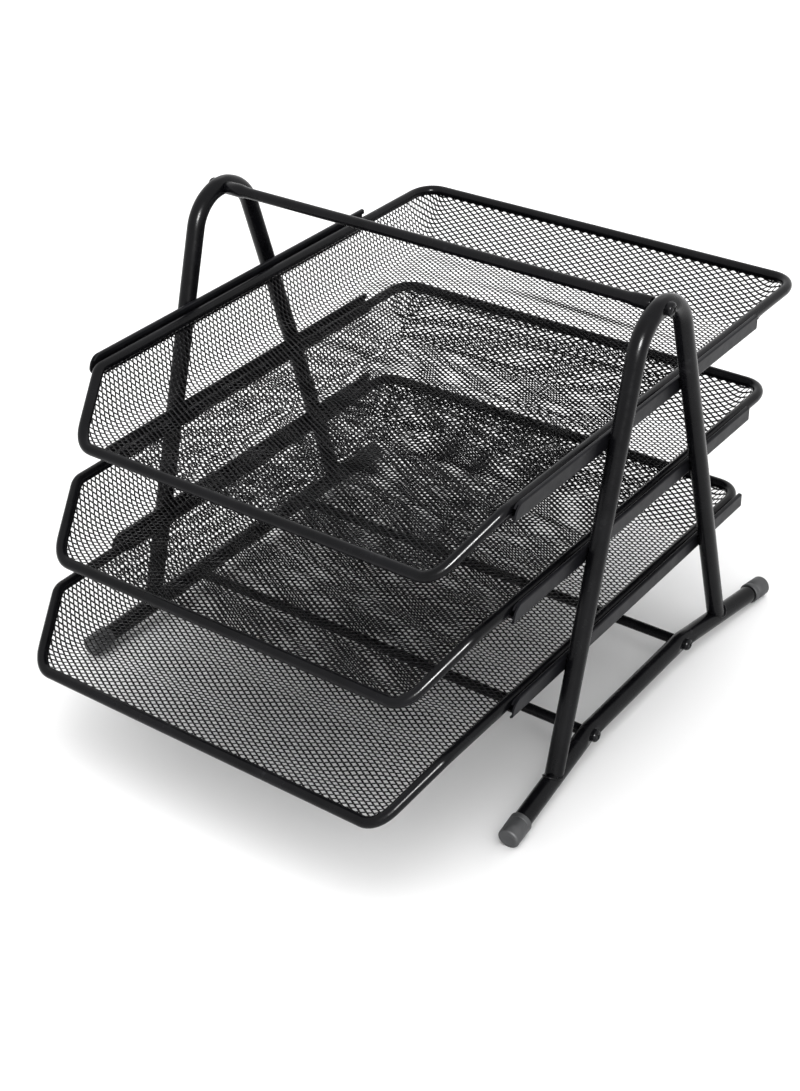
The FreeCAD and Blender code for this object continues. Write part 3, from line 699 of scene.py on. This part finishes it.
def keep_inside(x, y):
    """Brings points that fall outside the rim back onto its axis."""
    for _ in range(RIM_ROUNDS):
        height, slope_x, slope_y = sheet_height(x, y)
        over = np.maximum(height - WALL_HEIGHT, 0.0)
        steep = np.maximum(slope_x ** 2 + slope_y ** 2, LEAST_STEEPNESS)
        x = x - over * slope_x / steep
        y = y - over * slope_y / steep
    height, _, _ = sheet_height(x, y)
    front = np.where(y < FLOOR_BACK / 2, height * FRONT_RUN / WALL_HEIGHT, y)
    return x, np.maximum(y, front)


def diamond_corners():
    """The six corners of one opening, anticlockwise from the right, with blunt long ends."""
    short_half = OPENING_SHORT / 2
    end = OPENING_LONG / 2 * BLUNT
    half = short_half * (1 - BLUNT)
    return [(end, half), (0, short_half), (-end, half), (-end, -half), (0, -short_half),
            (end, -half)]


def lattice_cells():
    """Middles of the openings in the flat sheet, keyed by column and row."""
    half_u = FLOOR_EDGE + SIDE_SHEET
    deepest = FLOOR_BACK + BACK_SHEET
    cells = {}
    for row in range(-1, int(deepest / SHORT_PITCH * 2) + 1):
        v = row * SHORT_PITCH / 2
        columns = int(half_u / LONG_PITCH) + 1
        for column in range(-columns, columns + 1):
            u = (column + 0.5 * (row % 2)) * LONG_PITCH
            if abs(u) < half_u:
                cells[(2 * column + row % 2, row)] = (u, v)
    return cells


def sheet_faces(index):
    """Faces of the whole lattice, as point numbers, and the cell that each belongs to."""
    faces = []
    owners = []

    def point(cell, level, corner):
        return (index[cell] * 2 + level) * CORNERS + corner

    for cell in index:
        column, row = cell
        upper, lower, right = (column + 1, row + 1), (column + 1, row - 1), (column + 2, row)
        plates = []
        if upper in index:
            plates.append([(cell, 0), (upper, 4), (upper, 3), (cell, 1)])
        if lower in index:
            plates.append([(cell, 5), (cell, 4), (lower, 2), (lower, 1)])
        if upper in index and lower in index and right in index:
            plates.append([(cell, 5), (lower, 1), (right, 3), (right, 2), (upper, 4), (cell, 0)])
        made = []
        for plate in plates:
            made.append([point(at, 1, corner) for at, corner in plate])
            made.append([point(at, 0, corner) for at, corner in reversed(plate)])
        for k in range(CORNERS):
            after = (k + 1) % CORNERS
            made.append([point(cell, 1, k), point(cell, 1, after),
                         point(cell, 0, after), point(cell, 0, k)])
        faces.extend(made)
        owners.extend([cell] * len(made))
    return faces, owners


def sheet_points(cells):
    """Every corner of every opening on the folded sheet, upper and lower face, in millimetres."""
    middles = np.array(list(cells.values()))
    corners = np.array(diamond_corners())
    u = (middles[:, None, 0] + corners[None, :, 0]).ravel()
    v = (middles[:, None, 1] + corners[None, :, 1]).ravel()
    lift = np.tile(corners[:, 1] / corners[1, 1] * TWIST, len(middles))
    x, y = keep_inside(*plan_of(u, v))
    height, slope_x, slope_y = sheet_height(x, y)
    normal = np.stack([-slope_x, -slope_y, np.ones_like(x)], 1)
    normal /= np.linalg.norm(normal, axis=1)[:, None]
    base = np.stack([x, y, height - WALL_HEIGHT + floor_sag(x, y)], 1)
    levels = [base + normal * (lift + offset)[:, None] for offset in (-SHEET / 2, SHEET / 2)]
    stacked = np.stack([level.reshape(len(middles), CORNERS, 3) for level in levels], 1)
    return stacked.reshape(-1, 3)


def face_areas(points, faces):
    """Areas of faces of up to six corners. Shorter faces are padded with their last corner."""
    padded = np.array([face + face[-1:] * (CORNERS - len(face)) for face in faces])
    spread = points[padded] - points[padded[:, :1]]
    return np.linalg.norm(np.cross(spread[:, 1:-1], spread[:, 2:]).sum(1), axis=1) / 2


def close_cuts(faces):
    """Walls from the upper sheet down to the lower one, along upper edges that only one face has.

    A point of the upper sheet is numbered CORNERS after the one below it.
    """
    edges = {(a, b) for face in faces for a, b in zip(face, face[1:] + face[:1])}
    return [[b, a, a - CORNERS, b - CORNERS] for a, b in sorted(edges)
            if (b, a) not in edges and a // CORNERS % 2 == 1 and b // CORNERS % 2 == 1]


def make_sheet_meshes():
    """Two meshes of the folded sheet: its flat floor, and its folds and walls."""
    cells = keep_inner_cells(lattice_cells())
    index = {key: number for number, key in enumerate(cells)}
    points = sheet_points(cells)
    faces, owners = sheet_faces(index)
    areas = face_areas(points, faces)
    meshes = {}
    for part in ("floor", "walls"):
        chosen = [face for face, owner, area in zip(faces, owners, areas)
                  if on_floor(*cells[owner]) == (part == "floor") and area > SMALLEST_FACE]
        chosen += close_cuts(chosen)
        used = sorted({number for face in chosen for number in face})
        renumber = {number: i for i, number in enumerate(used)}
        mesh = bpy.data.meshes.new(f"tray_{part}_sheet")
        mesh.from_pydata((points[used] * MM).tolist(), [],
                         [[renumber[number] for number in face] for face in chosen])
        mesh.validate()
        mesh.materials.append(MATERIALS["mesh_coat"])
        meshes[part] = mesh
    return meshes


def keep_inner_cells(cells):
    """Only the cells whose middles lie within one cell of the sheet's outline."""
    spare = SHORT_PITCH
    x, y = plan_of(*np.array(list(cells.values())).T)
    height = sheet_height(x, y)[0]
    kept = (height < WALL_HEIGHT + spare) & (y > height * FRONT_RUN / WALL_HEIGHT - spare)
    return {key: middle for (key, middle), keep in zip(cells.items(), kept) if keep}


def on_floor(u, v):
    """Whether a place on the flat sheet stays flat when it is folded."""
    side_run = FLOOR_FOLD * math.tan(math.atan(SIDE_SLOPE) / 2)
    back_run = FLOOR_FOLD * math.tan(math.atan(BACK_SLOPE) / 2)
    return abs(u) < FLOOR_EDGE - side_run and v < FLOOR_BACK - back_run


def add_tray_sheets():
    meshes = make_sheet_meshes()
    for tier in TIERS:
        for part, mesh in meshes.items():
            piece = bpy.data.objects.new(f"{tier}_tray_{part}_mesh", mesh)
            piece.location = tray_origin(tier)
            bpy.context.scene.collection.objects.link(piece)
            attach(piece, f"{tier}_tray")
            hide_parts(f"{tier}_tray_mesh")


# ---------------------------------------------------------------- stage, light and camera

STUDIO_HALF_WIDTH = 30.0
LIGHT_AIM = Vector((0.0, 0.0, 0.12))
SHEEN_DIRECTION = Vector((0.632, -0.618, 0.463))
SHEEN_DISTANCE = 1.7
OVERHEAD_PLACE = (-0.3, 0.3, 2.4)


def add_floor():
    half = STUDIO_HALF_WIDTH
    corners = [(-half, -half, 0), (half, -half, 0), (half, half, 0), (-half, half, 0)]
    mesh = bpy.data.meshes.new("studio_floor")
    mesh.from_pydata(corners, [], [(0, 1, 2, 3)])
    piece = bpy.data.objects.new("studio_floor", mesh)
    bpy.context.scene.collection.objects.link(piece)
    material, tree, shader, place = new_material("studio_floor")
    pale = add_ramp(tree, add_noise(tree, place, 3.0), [(0.3, (0.88,) * 3), (0.7, (0.9,) * 3)])
    tree.links.new(pale, shader.inputs["Base Color"])
    shader.inputs["Roughness"].default_value = 0.8
    mesh.materials.append(material)


def add_area_light(name, place, aim, width, power, mirrored):
    """A square lamp that is either only mirrored by surfaces or only lights them softly."""
    light = bpy.data.lights.new(name, "AREA")
    light.shape = "SQUARE"
    light.size = width
    light.energy = power
    lamp = bpy.data.objects.new(name, light)
    lamp.location = place
    lamp.rotation_euler = (Vector(aim) - Vector(place)).to_track_quat("-Z", "Y").to_euler()
    lamp.visible_glossy = mirrored
    lamp.visible_diffuse = not mirrored
    bpy.context.scene.collection.objects.link(lamp)


def add_lights():
    """Soft light from all round, a lamp near the camera for the sheen, and a wide one overhead."""
    world = bpy.data.worlds.new("studio")
    world.use_nodes = True
    world.node_tree.nodes["Background"].inputs["Color"].default_value = (1.0, 1.0, 1.0, 1.0)
    world.node_tree.nodes["Background"].inputs["Strength"].default_value = 1.35
    bpy.context.scene.world = world
    bpy.context.scene.view_settings.view_transform = "Standard"
    sheen_place = LIGHT_AIM + SHEEN_DIRECTION * SHEEN_DISTANCE
    add_area_light("sheen", sheen_place, LIGHT_AIM, width=0.32, power=90.0, mirrored=True)
    add_area_light("overhead", OVERHEAD_PLACE, LIGHT_AIM, width=2.6, power=30.0, mirrored=False)


CAMERA_AIM = Vector((0.0080, -0.0276, 0.0784))
CAMERA_DISTANCE = 1.0337
CAMERA_AZIMUTH = 36.98
CAMERA_ELEVATION = 32.84
CAMERA_ROLL = -1.53
CAMERA_LENS = 61.97


def add_camera():
    camera = bpy.data.objects.new("camera", bpy.data.cameras.new("camera"))
    bpy.context.scene.collection.objects.link(camera)
    camera.data.sensor_width = 36.0
    camera.data.lens = CAMERA_LENS
    azimuth, elevation = math.radians(CAMERA_AZIMUTH), math.radians(CAMERA_ELEVATION)
    back = Vector((math.sin(azimuth) * math.cos(elevation),
                   -math.cos(azimuth) * math.cos(elevation), math.sin(elevation)))
    camera.location = CAMERA_AIM + back * CAMERA_DISTANCE
    level = (-back).to_track_quat("-Z", "Y").to_matrix()
    roll = Matrix.Rotation(math.radians(CAMERA_ROLL), 3, "Z")
    camera.rotation_euler = (level @ roll).to_euler()
    bpy.context.scene.camera = camera


# ---------------------------------------------------------------- whole scene

def build():
    add_floor()
    add_lights()
    add_camera()
    paint_cad_nodes()
    for name, side in SIDES.items():
        add_a_frame(name, side)
        add_floor_tube(name, side)
        for end_name, end in ENDS.items():
            add_end_cap(name, side, end_name, end)
            add_foot_weld(name, side, end_name, end)
    for group, name, place, outward in screw_heads():
        add_screw_head(group, name, place, outward)
    add_handle_bar()
    add_tray_sheets()


build()
bpy.context.view_layer.update()
